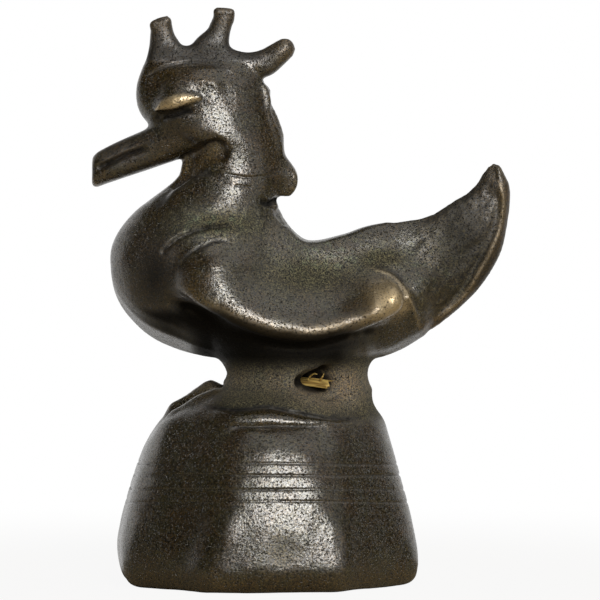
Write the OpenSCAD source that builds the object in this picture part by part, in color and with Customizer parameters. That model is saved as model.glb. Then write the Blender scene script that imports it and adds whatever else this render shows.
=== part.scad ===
// Cast bronze weight: a crested bird on a pierced waist and an eight sided base.
// The bird faces -X. The origin is the centre of the underside, and the weight stands on z = 0.

/* [Base] */
// Width across the flats where the base is widest
base_af = 30.9; // [26:0.1:36]
// Width across the flats at the edge of the shoulder
base_top_af = 22.6; // [20:0.1:26]
// Height of the edge of the shoulder above the ground
base_h = 17.4; // [12:0.1:24]
// Outward swell of each side at its middle
base_bulge = 0.55; // [0:0.05:1.2]
// Turn of the base about its own axis, in degrees
base_turn = 5; // [-20:0.5:20]
// Rounding of the eight upright corners
corner_r = 2.4; // [0.5:0.1:4]
// How far the foot draws in at the ground
foot_in = 1.3; // [0.4:0.1:3]
// Height of the rounded foot
foot_h = 2.2; // [0.8:0.1:4]
// Rise of the shoulder from its edge to the waist
shoulder_h = 3; // [1.5:0.1:6]

/* [Waist] */
// Length of the waist along the bird, at its narrowest
waist_len = 15.1; // [10:0.1:18]
// Width of the waist across the bird, at its narrowest
waist_w = 12; // [8:0.1:14]
// Height of the waist between shoulder and belly
waist_h = 3.1; // [2.6:0.1:6]
// How far the ends of the waist flare out
waist_flare = 0.7; // [0.2:0.05:1.2]
// Distance of the waist behind the middle of the base
waist_x = 3; // [-1:0.1:4]

/* [Passage] */
// Diameter of the front bore of the cord passage
bore_d = 2.6; // [1.8:0.1:2.6]
// Diameter of the side bore of the cord passage
side_bore_d = 2.4; // [1.8:0.1:2.5]
// Place where the two bores meet, ahead of the middle of the waist
bore_meet = 2.5; // [0:0.1:4]
// Direction of the side mouth about the waist, in degrees from the tail
mouth_angle = -62; // [-80:1:-40]
// Diameter of the hollow worn round the side mouth
dish_d = 6; // [4:0.1:8]
// Diameter of the channel worn down the front of the shoulder
channel_d = 5.4; // [3:0.1:7]
// Depth of that channel
channel_depth = 1.4; // [0.4:0.1:2]

/* [Body] */
// Length of the body from the breast to the root of the tail
body_len = 33.1; // [28:0.1:40]
// Reach of the breast ahead of the middle of the waist
breast_reach = 19.5; // [16:0.1:22]
// Width of the body across its flanks, under the wings
body_w = 17; // [15:0.1:22]
// Height of the body from the waist to the root of the neck
body_h = 14.1; // [11:0.1:18]
// How far the top of the tail's root leads its bottom
root_lean = 3.4; // [1:0.1:5]

/* [Wings] */
// Height of the wing's ridge above the flank
ridge_h = 2.1; // [0.6:0.1:3]
// Height of the knob at the wing's tip above the flank
knob_h = 2.5; // [0.6:0.1:3.5]

/* [Tail] */
// Run of the tail's upper edge, from its root to its tip
tail_run = 9.9; // [6:0.1:14]
// Rise of the tail's upper edge, from its root to its tip
tail_rise = 6.2; // [3:0.1:10]
// Thickness of the tail along its outer edge
tail_t = 1.8; // [1:0.1:2.4]
// Diameter of the rolled rim on the outer edge
rim_d = 2.8; // [2.5:0.1:4]

/* [Neck and head] */
// Length of the neck's root along the bird
neck_len = 17.2; // [13:0.1:18]
// Width of the neck's root across the bird
neck_w = 12.6; // [9:0.1:14]
// Distance from the breast's foremost point to the neck's root
neck_back = 1.3; // [1:0.1:2.5]
// Height of the neck from its root to the jaw
neck_h = 8.5; // [6:0.1:14]
// Height of the head from the jaw to the comb
head_h = 7.8; // [6:0.1:11]
// Length of the head from the brow to the nape
head_len = 15; // [12:0.1:18]
// Width of the head
head_w = 8.2; // [6:0.1:10]
// Length of an eye
eye_len = 4.6; // [3:0.1:6]
// Height of an eye
eye_h = 1.7; // [1:0.1:2.6]

/* [Bill] */
// Length of the bill from the middle of the jaw to its tip
bill_len = 12; // [9:0.1:15]
// Height of the bill at its blunt tip
bill_tip_h = 3.7; // [2:0.1:5]
// Width of the bill at its blunt tip
bill_tip_w = 3.6; // [2:0.1:5]
// Height of the bill at its root
bill_root_h = 5; // [3:0.1:6]
// Width of the bill at its root
bill_root_w = 5.6; // [3:0.1:7]
// Droop of the bill below level, in degrees
bill_droop = 22; // [5:1:35]

/* [Crest] */
// Height of the comb that carries the prongs
comb_h = 2.3; // [1.2:0.1:4]
// Diameter of a prong at its middle
prong_d = 2.4; // [1.4:0.1:3.4]
// Length of the front prong
front_prong = 3.7; // [2.5:0.1:8]
// Length of the middle prong
middle_prong = 4.7; // [3:0.1:9]
// Length of the rear prong
rear_prong = 5.2; // [3:0.1:9]
// Thickness of the mane along the nape
mane_t = 2.6; // [1.2:0.1:4]

/* [Cane] */
// Width of the strip of split cane left in the passage
cane_w = 1.1; // [0.6:0.05:1.3]
// Thickness of the strip
cane_t = 0.45; // [0.2:0.05:0.6]
// Length of the strip
cane_len = 7.5; // [4:0.1:9]
// Gap between the strip and the wall of the passage
cane_gap = 0.05; // [0.02:0.01:0.1]

/* [Hidden] */

bronze = "#4a4234";
rubbed = "#7d6540";
cane = "#b8923f";

// Thickness of the slices that the base is stretched over
slice_t = 0.01;
// Length that carries a cut clear of the surface
clear = 30;
// Least half width of a closing edge
edge_half = 0.25;

// Levels of the stacked pieces
seat_z = base_h + shoulder_h;
belly_z = seat_z + waist_h;
neck_z = belly_z + body_h;
jaw_z = neck_z + neck_h;
comb_z = jaw_z + head_h;

// Places along the bird
breast_x = waist_x - breast_reach;
neck_x = breast_x + neck_back + neck_len / 2;

// Half sizes of the oval seats that pieces share
waist_seat = [waist_len, waist_w] / 2 + [waist_flare, waist_flare];
neck_seat = [neck_len, neck_w] / 2;

// Lines of the body, as [root of the share of its length, share of its height or half width]
belly_line = [[0, 0.715], [0.1, 0.52], [0.2, 0.37], [0.35, 0.175], [0.48, 0.06], [0.58, 0],
    [0.75, -0.03], [0.9165, 0], [0.96, 0.07], [1, 0.177]];
back_line = [[0, 0.755], [0.1, 0.87], [0.195, 1], [0.3, 1.1], [0.6, 1.1], [0.76, 1],
    [0.8, 0.88], [0.84, 0.88], [0.9, 0.935], [0.95, 1.0], [1, 1.014]];
flank_line = [[0, 0.03], [0.1, 0.24], [0.2, 0.44], [0.35, 0.7], [0.48, 0.88], [0.63, 1],
    [0.75, 1], [0.85, 0.93], [0.93, 0.79], [1, 0.6]];
hollow_line = [[0, 0], [0.45, 0.1], [0.6, 0.5], [0.75, 0.85], [1, 0.9]];
back_half_line = [[0.55, 0], [0.68, 0.42], [0.76, 0.44], [0.85, 0.36], [0.93, 0.2], [1, 0.08]];
tuck_line = [[0, 0], [0.35, 0.1], [0.5, 0.45], [0.65, 0.8], [0.9, 0.8], [1, 0.4]];
// Place along the body behind which the back is free of the neck
nape_end = 0.78;

// Edges of a wing on the flank, as shares of its depth from the back to the belly
wing_top_line = [[0.443, 0.27], [0.507, 0.16], [0.602, 0.1], [0.706, 0.13], [0.806, 0.13],
    [0.877, 0.17], [0.944, 0.3], [0.982, 0.48]];
wing_low_line = [[0.443, 0.46], [0.507, 0.55], [0.602, 0.68], [0.706, 0.77], [0.76, 0.785], [0.81, 0.76],
    [0.877, 0.72], [0.944, 0.68], [0.982, 0.65]];
// How far above the wing's lower edge the flank is widest, as a share of its depth
edge_turn = 0.035;
// Height of the wing along its length, as shares of the ridge and of the knob, and its fullness
ridge_line = [[0, 0], [0.1, 0.7], [0.22, 1], [0.5, 0.95], [0.75, 0.9], [0.9, 0.3], [1, 0]];
knob_line = [[0, 0], [0.75, 0], [0.85, 0.55], [0.93, 1], [0.98, 0.7], [1, 0]];
fullness_line = [[0, 0.7], [0.3, 0.85], [0.65, 1.25], [1, 1.5]];
// Place of the ridge between the wing's upper and lower edges
ridge_at = 0.84;

// Edges of the tail, as [share, share of the run, share of the rise or of the full depth]
tail_top_line = [[0, [0, 0]], [0.2, [0.25, 0.1]], [0.4, [0.45, 0.24]], [0.6, [0.66, 0.44]],
    [0.8, [0.83, 0.66]], [0.95, [0.92, 0.9]], [1, [0.985, 0.985]]];
tail_low_line = [[0, [0, 0]], [0.15, [0.283, 0.122]], [0.3, [0.525, 0.256]], [0.45, [0.687, 0.389]],
    [0.6, [0.798, 0.522]], [0.75, [0.859, 0.656]], [0.88, [0.88, 0.789]], [0.96, [0.85, 0.9]],
    [1, [0.77, 0.975]]];

// Neck and head from the bottom up, as [share of height, [front, rear, width] as shares]
neck_line = [[0, [1, 1, 1]], [0.2, [0.82, 0.92, 0.9]], [0.4, [0.52, 0.94, 0.78]],
    [0.59, [0.31, 0.97, 0.7]], [0.79, [0.27, 0.94, 0.66]], [1, [0.22, 0.9, 0.64]]];
neck_top = neck_line[len(neck_line) - 1][1];
head_line = [[0, [0, 0, neck_top[2] * neck_w / head_w]], [0.15, [0.46, 0.02, 1]], [0.3, [0.82, 0.05, 1]], [0.45, [0.95, 0.07, 1]],
    [0.6, [1, 0.08, 1]], [0.8, [0.98, 0.1, 0.95]], [1, [0.87, 0.14, 0.8]]];
comb_line = [[0, [0.87, 0.14, 0.8]], [0.15, [0.85, 0.15, 0.66]], [0.5, [0.77, 0.2, 0.46]],
    [0.8, [0.68, 0.27, 0.36]], [1, [0.5, 0.4, 0.28]]];
// Radius of a prong along its length, as shares of its radius at the middle
prong_line = [[0, 1.65], [0.3, 1.15], [0.65, 0.95], [1, 1]];

// Front and rear of the neck where the head sits on it
jaw_front = neck_x - neck_len / 2 * neck_top[0];
nape_x = neck_x + neck_len / 2 * neck_top[1];

function lerp(a, b, t) = a + (b - a) * t;

// Row of a table that holds the stretch round a place
function row_at(rows, p, i = 0) =
    i >= len(rows) - 2 || p < rows[i + 1][0] ? i : row_at(rows, p, i + 1);
function row_slope(rows, i) =
    let (a = rows[max(i - 1, 0)], b = rows[min(i + 1, len(rows) - 1)])
    (b[1] - a[1]) / (b[0] - a[0]);

// Smooth value of a table at a place; places past its ends take the end's value
function curve(rows, place) =
    let (
        p = min(max(place, rows[0][0]), rows[len(rows) - 1][0]),
        i = row_at(rows, p),
        d = rows[i + 1][0] - rows[i][0],
        t = (p - rows[i][0]) / d
    )
    rows[i][1] * (2 * t ^ 3 - 3 * t ^ 2 + 1) + row_slope(rows, i) * d * (t ^ 3 - 2 * t ^ 2 + t)
    + rows[i + 1][1] * (3 * t ^ 2 - 2 * t ^ 3) + row_slope(rows, i + 1) * d * (t ^ 3 - t ^ 2);

// Half width of an oval seat at a place along the bird
function oval_half(x, centre, seat) = seat[1] * sqrt(max(0, 1 - ((x - centre) / seat[0]) ^ 2));

// Oval ring of points in a level plane
ring_n = 32;
function oval_ring(front, rear, half, z) =
    [for (i = [0:ring_n - 1]) let (a = 360 * i / ring_n)
        [(front + rear) / 2 + (rear - front) / 2 * cos(a), half * sin(a), z]];

function middle(ring) = [for (axis = [0:2]) [for (p = ring) p[axis]] * [for (p = ring) 1] / len(ring)];

// Closed solid over rings of points, each end closed on its own middle
module skin(rings) {
    n = len(rings[0]);
    last = (len(rings) - 1) * n;
    points = [for (r = rings) each r, middle(rings[0]), middle(rings[len(rings) - 1])];
    sides = [for (k = [0:len(rings) - 2], i = [0:n - 1])
        let (a = k * n + i, b = k * n + (i + 1) % n)
        each [[a, a + n, b + n], [a, b + n, b]]];
    start = [for (i = [0:n - 1]) [len(rings) * n, i, (i + 1) % n]];
    end = [for (i = [0:n - 1]) [len(rings) * n + 1, last + (i + 1) % n, last + i]];
    polyhedron(points, concat(sides, start, end));
}

// Ring of a tube round a point of the upright middle plane
function tube_ring(point, ahead, r, sides) =
    let (across = [-ahead[1], ahead[0]] / norm(ahead))
    [for (i = [0:sides - 1]) let (a = 360 * i / sides)
        [point[0] + r * cos(a) * across[0], -r * sin(a), point[1] + r * cos(a) * across[1]]];

// Round tube along points of that plane, with a radius at each point and a domed far end
module tube(path, radii, sides) {
    last = len(path) - 1;
    ahead = [for (k = [0:last]) path[min(k + 1, last)] - path[max(k - 1, 0)]];
    way = ahead[last] / norm(ahead[last]);
    skin([
        for (k = [0:last]) tube_ring(path[k], ahead[k], radii[k], sides),
        for (a = [30, 60, 80]) tube_ring(path[last] + way * radii[last] * sin(a), way, radii[last] * cos(a), sides)
    ]);
}

// Base

module base_slice(z, af) {
    translate([0, 0, z])
        linear_extrude(slice_t)
            rotate(base_turn + 22.5)
                offset(r = corner_r, $fn = 32)
                    circle((af / 2 - corner_r) / cos(22.5), $fn = 8);
}

module base() {
    side_steps = 9;
    foot_steps = 5;
    color(bronze) difference() {
        hull() {
            for (i = [0:foot_steps]) let (a = 90 * i / foot_steps)
                base_slice(foot_h * (1 - cos(a)), base_af - 2 * foot_in * (1 - sin(a)));
            for (i = [1:side_steps]) let (t = i / side_steps)
                base_slice(lerp(foot_h, base_h, t) - slice_t,
                    lerp(base_af, base_top_af, t) + 8 * base_bulge * t * (1 - t));
            translate([waist_x, 0, seat_z - slice_t])
                linear_extrude(slice_t)
                    scale(waist_seat) circle(1, $fn = 48);
        }
        channel();
        side_dish();
    }
}

// Waist and the cord passage through it

module channel() {
    front = [waist_x - waist_seat[0], seat_z];
    edge = [-base_top_af / 2, base_h];
    slope = atan2(front[1] - edge[1], front[0] - edge[0]);
    lift = channel_d / 2 - channel_depth;
    translate([front[0] - lift * sin(slope), 0, front[1] + lift * cos(slope)])
        rotate([0, -90 - slope, 0])
            translate([0, 0, -waist_flare])
                cylinder(d = channel_d, h = clear, $fn = 64);
}

module side_dish() {
    reach = waist_seat + [dish_d, dish_d] / 4;
    translate([waist_x + reach[0] * cos(mouth_angle), reach[1] * sin(mouth_angle), seat_z + waist_h / 4])
        sphere(d = dish_d, $fn = 64);
}

mouth = [waist_x + waist_seat[0] * cos(mouth_angle), waist_seat[1] * sin(mouth_angle)];
meet = [waist_x - bore_meet, 0];
bore_z = seat_z + waist_h / 2;
bore_turn = atan2(mouth[1] - meet[1], mouth[0] - meet[0]);
bore_len = norm(mouth - meet);

module bores() {
    translate([meet[0], meet[1], bore_z]) {
        rotate([0, -90, 0])
            translate([0, 0, -bore_d / 2])
                cylinder(d = bore_d, h = clear, $fn = 64);
        rotate([0, 90, bore_turn])
            cylinder(d = side_bore_d, h = clear, $fn = 64);
    }
}

module waist() {
    steps = 8;
    hollow_r = (waist_flare ^ 2 + (waist_h / 2) ^ 2) / (2 * waist_flare);
    color(bronze) difference() {
        skin([for (i = [0:steps])
            let (
                up = lerp(-waist_h, waist_h, i / steps) / 2,
                flare = hollow_r - sqrt(hollow_r ^ 2 - up ^ 2)
            )
            oval_ring(waist_x - waist_len / 2 - flare, waist_x + waist_len / 2 + flare,
                waist_w / 2 + flare, seat_z + waist_h / 2 + up)]);
        bores();
        channel();
        side_dish();
    }
}

// Body

stations = 42;
above_n = 4;
wing_n = 10;
below_n = 5;

// Place along the body of a station, closer together at the breast
function station(k) = (k / stations) ^ 0.8;

function low_edge(q) = [breast_x + body_len * q ^ 2, belly_z + body_h * max(0, curve(belly_line, q))];
function top_edge(q) =
    let (share = curve(back_line, q))
    [breast_x + body_len * q ^ 2 - root_lean * q ^ 6,
        neck_z + body_h * ((q < nape_end ? min(1, share) : share) - 1)];

// Half width of a section, a share s of the way down from its top edge to its low edge
function flank_half(s, top, wide, low, at, hollow, tuck) =
    s < at
    ? let (t = s / at)
        top + (wide - top) * ((1 - hollow) * sqrt(1 - (1 - t) ^ 2) + hollow * t ^ 1.5)
    : let (t = (1 - s) / (1 - at))
        low + (wide - low) * ((1 - tuck) * sqrt(1 - (1 - t) ^ 2) + tuck * t);

function body_half(q, s) =
    let (
        back = body_w / 2 * curve(back_half_line, q),
        top = max(edge_half, back, oval_half(top_edge(q)[0], neck_x, neck_seat)),
        low = max(edge_half, oval_half(low_edge(q)[0], waist_x, waist_seat)),
        wide = max(edge_half, body_w / 2 * curve(flank_line, q))
    )
    flank_half(s, min(top, wide), wide, min(low, wide), curve(wing_low_line, q) - edge_turn,
        curve(hollow_line, q), curve(tuck_line, q));

// Shares down a section: above the wing, over it, and below it
function section_shares(q) =
    let (u = curve(wing_top_line, q), v = curve(wing_low_line, q))
    [for (i = [0:above_n - 1]) u * i / above_n,
        for (i = [0:wing_n]) lerp(u, v, i / wing_n),
        for (i = [1:below_n]) lerp(v, 1, i / below_n)];

function body_point(q, s, side) =
    let (p = lerp(top_edge(q), low_edge(q), s))
    [p[0], side * body_half(q, s), p[1]];

// Whole ring round a section: down one flank, and up the other
function section_ring(points) =
    [each points, for (i = [len(points) - 1:-1:0]) [points[i][0], -points[i][1], points[i][2]]];

function body_ring(q) = section_ring([for (s = section_shares(q)) body_point(q, s, -1)]);

module body() {
    color(bronze)
        skin([for (k = [0:stations]) body_ring(station(k))]);
}

// Wings

first_station = ceil(stations * wing_top_line[0][0] ^ 1.25);
last_station = floor(stations * wing_top_line[len(wing_top_line) - 1][0] ^ 1.25);

function relief(u, v) =
    let (
        ridge = v < ridge_at
            ? (v / ridge_at) ^ curve(fullness_line, u)
            : sqrt(max(0, 1 - ((v - ridge_at) / (1 - ridge_at)) ^ 2)),
        knob = sin(180 * v ^ 1.3)
    )
    ridge_h * max(0, curve(ridge_line, u)) * ridge + knob_h * max(0, curve(knob_line, u)) * knob;

// A wing is raised from the flank's own points, and its rim is the rim of that patch
module wing(side) {
    rows = last_station - first_station;
    cols = wing_n;
    flank = [for (k = [0:rows], i = [0:cols])
        let (q = station(first_station + k), s = section_shares(q)[above_n + i])
        body_point(q, s, side)];
    raised = [for (k = [0:rows], i = [0:cols])
        flank[k * (cols + 1) + i] + [0, side * relief(k / rows, i / cols), 0]];
    inner = function(k, i) k * (cols + 1) + i;
    outer = function(k, i)
        k == 0 || k == rows || i == 0 || i == cols
        ? inner(k, i)
        : (rows + 1) * (cols + 1) + inner(k, i);
    // Two corners of the patch lie flat, so the pair of faces there is left out
    lower = [for (k = [0:rows - 1], i = [0:cols - 1]) if (k < rows - 1 || i > 0)
        each [
            [inner(k, i), inner(k + 1, i), inner(k + 1, i + 1)],
            [outer(k, i), outer(k + 1, i + 1), outer(k + 1, i)]
        ]];
    upper = [for (k = [0:rows - 1], i = [0:cols - 1]) if (k > 0 || i < cols - 1)
        each [
            [inner(k, i), inner(k + 1, i + 1), inner(k, i + 1)],
            [outer(k, i), outer(k, i + 1), outer(k + 1, i + 1)]
        ]];
    faces = concat(lower, upper);
    color(rubbed)
        polyhedron(concat(flank, raised), side > 0 ? faces : [for (f = faces) [f[0], f[2], f[1]]]);
}

// Tail

tail_steps = 16;
rim_start = 0.03;
fin_end = 0.94;
root_low = low_edge(1);
tail_tip = top_edge(1) + [tail_run, tail_rise];

function tail_top(t) =
    let (share = curve(tail_top_line, t))
    top_edge(1) + [tail_run * share[0], tail_rise * share[1]];
function tail_low(t) =
    let (share = curve(tail_low_line, t))
    root_low + [tail_run * share[0], (tail_tip[1] - root_low[1]) * share[1]];

// The fin is thickest below its middle and thins out to its rim; it grows out of the body's last section
fin_at = 0.6;
fin_root = 2.6;
function fin_half(t, s) =
    let (thick = lerp(fin_root, tail_t / 2, t))
    s < fin_at
    ? lerp(edge_half, thick, (s / fin_at) ^ 0.8)
    : lerp(thick, tail_t / 2, (s - fin_at) / (1 - fin_at));
function tail_half(t, s) = lerp(body_half(1, s), fin_half(t, s), 1 - (1 - min(1, t / 0.35)) ^ 2);

// Radius of the rim, and its middle, which lies that far inside the tail's outer edge
function rim_r(t) = rim_d / 2 * sqrt(min(1, 3 * t) * min(1, 0.45 + 6 * (1 - t)));
function rim_middle(t) =
    let (
        ahead = tail_low(min(1, t + 0.02)) - tail_low(max(0, t - 0.02)),
        inward = [-ahead[1], ahead[0]] / norm(ahead)
    )
    tail_low(t) + inward * rim_r(t);

// The fin's own edge runs down to the middle of the rim
module tail_form() {
    shares = section_shares(1);
    skin([for (k = [0:tail_steps]) let (t = fin_end * k / tail_steps)
        section_ring([for (s = shares)
            let (p = lerp(tail_top(t), rim_middle(t), s))
            [p[0], -tail_half(t, s), p[1]]])]);
}

module tail() {
    color(bronze) tail_form();
}

module tail_rim() {
    steps = 20;
    shares = [for (k = [0:steps]) lerp(rim_start, 1, k / steps)];
    color(rubbed) difference() {
        tube([for (t = shares) rim_middle(t)], [for (t = shares) rim_r(t)], 12);
        tail_form();
    }
}

// Neck, head and comb

neck_steps = 10;
head_steps = 10;
comb_steps = 6;

function neck_ring(v) =
    let (share = curve(neck_line, v))
    oval_ring(neck_x - neck_len / 2 * share[0], neck_x + neck_len / 2 * share[1],
        neck_w / 2 * share[2], neck_z + neck_h * v);

function head_ring(rows, v, z) =
    let (share = curve(rows, v))
    oval_ring(lerp(jaw_front, nape_x - head_len, share[0]), nape_x - head_len * share[1],
        head_w / 2 * share[2], z);

module neck_form() {
    skin([for (k = [0:neck_steps]) neck_ring(k / neck_steps)]);
}

module neck() {
    color(bronze) neck_form();
}

module head_form() {
    skin([for (k = [0:head_steps]) let (v = k / head_steps)
        head_ring(head_line, v, jaw_z + head_h * v)]);
}

module head() {
    color(bronze) head_form();
}

module comb_form() {
    skin([for (k = [0:comb_steps]) let (v = k / comb_steps)
        head_ring(comb_line, v, comb_z + comb_h * v)]);
}

module comb() {
    color(bronze) comb_form();
}

// Eyes

eye_v = 0.58;
eye_back = 3.9;
eye_tilt = 16;

module eye(side) {
    brow = lerp(jaw_front, nape_x - head_len, curve(head_line, eye_v)[0]);
    rear = nape_x - head_len * curve(head_line, eye_v)[1];
    half = (rear - brow) / 2;
    along = (brow + eye_back - (brow + rear) / 2) / half;
    depth = head_w / 2 * curve(head_line, eye_v)[2] * sqrt(1 - along ^ 2);
    turn = -atan(head_w / 2 / half * along / sqrt(1 - along ^ 2));
    arc_r = (eye_len ^ 2 + eye_h ^ 2) / (4 * eye_h);
    steps = 12;
    color(rubbed) difference() {
        translate([brow + eye_back, side * (depth - 0.1 * eye_h), jaw_z + head_h * eye_v])
            rotate([0, -eye_tilt, side * turn])
                tube([for (k = [0:steps]) [eye_len / 2 * -cos(lerp(8, 172, k / steps)), 0]],
                    [for (k = [0:steps]) let (x = eye_len / 2 * cos(lerp(8, 172, k / steps)))
                        sqrt(arc_r ^ 2 - x ^ 2) - arc_r + eye_h / 2], 16);
        head_form();
    }
}

// Bill

bill_root = [jaw_front + 1.2, jaw_z + 1.5];
bill_steps = 10;
bill_n = 12;

// Half section of the bill, from the mouth up or down, a share t of the way out to the tip
function bill_ring(t, way) =
    let (
        size = [lerp(bill_root_w, bill_tip_w, t), lerp(bill_root_h, bill_tip_h, t)] / 2
            * (t > 0.96 ? 0.84 : 1),
        centre = bill_root - bill_len * t * [cos(bill_droop), sin(bill_droop)]
    )
    [for (i = [0:bill_n])
        let (
            a = 180 * i / bill_n,
            out = size[0] * sign(cos(a)) * abs(cos(a)) ^ 0.75,
            up = size[1] * abs(sin(a)) ^ 0.75
        )
        [centre[0], -way * out, centre[1] + way * up]];

module bill(way) {
    color(bronze) difference() {
        skin([for (k = [0:bill_steps]) bill_ring(sqrt(k / bill_steps), way)]);
        head_form();
        neck_form();
    }
}

// Prongs of the crest

// A prong leaves its root at one angle and ends at another, along an arc
module prong(root, from, to, length) {
    steps = 12;
    sweep = to - from;
    arc_r = length / (sweep * PI / 180);
    path = [for (k = [0:steps]) let (a = from + sweep * k / steps)
        root + arc_r * [sin(a) - sin(from), cos(from) - cos(a)]];
    color(rubbed) difference() {
        tube(path, [for (k = [0:steps]) prong_d / 2 * curve(prong_line, k / steps)], 14);
        comb_form();
        head_form();
    }
}

comb_front = lerp(jaw_front, nape_x - head_len, comb_line[0][1][0]);
comb_rear = nape_x - head_len * comb_line[0][1][1];

module crest_front() {
    prong([comb_front + 3, comb_z + 0.4 * comb_h], 114, 94, front_prong);
}

module crest_middle() {
    prong([comb_front + 6.4, comb_z + 0.55 * comb_h], 54, 78, middle_prong);
}

module crest_rear() {
    prong([comb_rear - 1.8, comb_z - 0.3 * comb_h], 12, 40, rear_prong);
}

// Mane along the nape, in lobes

module mane() {
    lobe_r = 2.1;
    // Each lobe runs from an upper to a lower place, behind the nape and above the jaw
    lobes = [
        [[-3, 4.7], [-2.9, 4.1]],
        [[-2.6, 2], [-1.5, -0.7]],
        [[-0.3, -3.6], [0, -3.9]]
    ];
    color(bronze) difference() {
        rotate([90, 0, 0])
            linear_extrude(mane_t, center = true)
                translate([nape_x, jaw_z])
                    for (lobe = lobes)
                        hull() for (place = lobe)
                            translate(place) circle(lobe_r, $fn = 64);
        neck_form();
        head_form();
    }
}

// Split cane left in the passage

bow_r = 40;
bed = sqrt((side_bore_d / 2) ^ 2 - (cane_w / 2) ^ 2) - cane_gap;
cane_end = bore_len - waist_flare;

module cane_strip() {
    sweep = cane_len / bow_r * 180 / PI;
    color(cane)
        translate([meet[0], meet[1], bore_z])
            rotate(bore_turn)
                translate([cane_end - cane_len / 2, 0, bow_r - bed])
                    rotate([90, 0, 0])
                        rotate(-90 - sweep / 2)
                            rotate_extrude(angle = sweep, $fn = 720)
                                translate([bow_r - cane_t, -cane_w / 2]) square([cane_t, cane_w]);
}

module cane_fibres() {
    fibre_d = 0.22;
    color(cane)
        translate([meet[0], meet[1], bore_z])
            rotate(bore_turn)
                for (side = [-1, 1])
                    translate([cane_end - 1.6 + 0.5 * side, side * 0.25, cane_t - bed])
                        rotate([90, 0, 0])
                            rotate_extrude(angle = 120, $fn = 48)
                                translate([0.7, 0]) circle(d = fibre_d, $fn = 16);
}

base();
waist();
body();
wing(-1);  // wing_left
wing(1);  // wing_right
tail();
tail_rim();
neck();
head();
bill(1);  // bill_upper
bill(-1);  // bill_lower
eye(-1);  // eye_left
eye(1);  // eye_right
comb();
crest_front();
crest_middle();
crest_rear();
mane();
cane_strip();
cane_fibres();
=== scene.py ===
import math

import bmesh
import bpy
import numpy as np
from mathutils import Matrix, Vector
from mathutils.bvhtree import BVHTree


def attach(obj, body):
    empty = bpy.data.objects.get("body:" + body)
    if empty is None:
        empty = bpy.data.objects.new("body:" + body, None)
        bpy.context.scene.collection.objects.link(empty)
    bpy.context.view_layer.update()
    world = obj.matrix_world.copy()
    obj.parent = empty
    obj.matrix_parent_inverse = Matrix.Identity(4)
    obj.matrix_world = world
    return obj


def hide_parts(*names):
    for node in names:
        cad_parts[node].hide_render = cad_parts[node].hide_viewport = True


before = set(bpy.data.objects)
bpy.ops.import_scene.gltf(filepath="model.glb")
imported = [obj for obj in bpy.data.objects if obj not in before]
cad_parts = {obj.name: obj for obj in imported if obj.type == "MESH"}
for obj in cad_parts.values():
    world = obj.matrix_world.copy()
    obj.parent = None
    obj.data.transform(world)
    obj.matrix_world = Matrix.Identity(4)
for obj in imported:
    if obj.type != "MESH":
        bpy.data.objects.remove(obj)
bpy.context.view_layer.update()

# Shapes are worked out in millimetres, and a finished mesh is scaled to metres
MM = 0.001

BRONZE_NODES = [
    "base", "waist", "body", "wing_left", "wing_right", "tail", "tail_rim", "neck", "head",
    "bill_upper", "bill_lower", "eye_left", "eye_right", "comb", "crest_front", "crest_middle",
    "crest_rear", "mane",
]

# Camera, at the photograph's viewing angle
view_width = 63.0
view_distance = 480.0
view_elevation = math.radians(1.5)
view_centre = Vector((3.41, 0, 29.61))
back_off = Vector((0, -math.cos(view_elevation), math.sin(view_elevation)))
view_point = view_centre + back_off * view_distance

camera_data = bpy.data.cameras.new("camera")
camera_data.sensor_width = 36
camera_data.lens = camera_data.sensor_width * view_distance / view_width
camera_data.clip_start = 0.01
camera_data.clip_end = 100
camera = bpy.data.objects.new("camera", camera_data)
bpy.context.scene.collection.objects.link(camera)
camera.location = view_point * MM
camera.rotation_euler = (math.pi / 2 - view_elevation, 0, 0)
bpy.context.scene.camera = camera

# Lines, falloffs and grain


def smooth_line(points, per_span=5):
    """Points along a smooth curve through the given points."""
    points = np.array(points, float)
    ended = np.vstack([2 * points[0] - points[1], points, 2 * points[-1] - points[-2]])
    line = []
    for a, b, c, d in zip(ended, ended[1:], ended[2:], ended[3:]):
        for t in np.arange(per_span) / per_span:
            line.append(0.5 * (2 * b + (c - a) * t + (2 * a - 5 * b + 4 * c - d) * t ** 2
                               + (3 * b - a - 3 * c + d) * t ** 3))
    return np.array(line + [points[-1]])


def near_line(places, line):
    """Distance of each place from a line, below 0 to its right, and the share of the line passed there."""
    best = np.full(len(places), 1e9)
    share = np.zeros(len(places))
    hand = np.ones(len(places))
    steps = np.linalg.norm(np.diff(line, axis=0), axis=1)
    passed = np.concatenate([[0], np.cumsum(steps)])
    for i, step in enumerate(steps):
        along = (line[i + 1] - line[i]) / step
        offset = places - line[i]
        t = np.clip(offset @ along, 0, step)
        gap = np.linalg.norm(offset - t[:, None] * along, axis=1)
        closer = gap < best
        best[closer] = gap[closer]
        share[closer] = (passed[i] + t[closer]) / passed[-1]
        hand[closer] = np.where(along[0] * offset[closer, 1] < along[1] * offset[closer, 0], -1, 1)
    return best * hand, share


def rise(value, start, end):
    """0 at the start, 1 at the end, and smooth between them."""
    t = np.clip((value - start) / (end - start), 0, 1)
    return t * t * (3 - 2 * t)


def band(value, low, full_from, full_to, high):
    """1 between the two inner values, falling to 0 at the two outer ones."""
    return rise(value, low, full_from) * rise(value, high, full_to)


def run_out(share, first, last):
    """1 along a line, falling to 0 over shares of it at its first and last end."""
    return rise(share, 0, first) * rise(1 - share, 0, last)


def hump(value, middle, width):
    return np.exp(-((value - middle) / width) ** 2)


def blob(points, centre, size):
    """1 at a centre, falling to 0 over the given sizes along the axes."""
    return np.exp(-np.sum(((points - np.array(centre)) / np.array(size)) ** 2, axis=1))


def blobs(points, rows):
    """Sum of blobs, each given as (strength, centre, size)."""
    return sum(strength * blob(points, centre, size) for strength, centre, size in rows)


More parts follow.
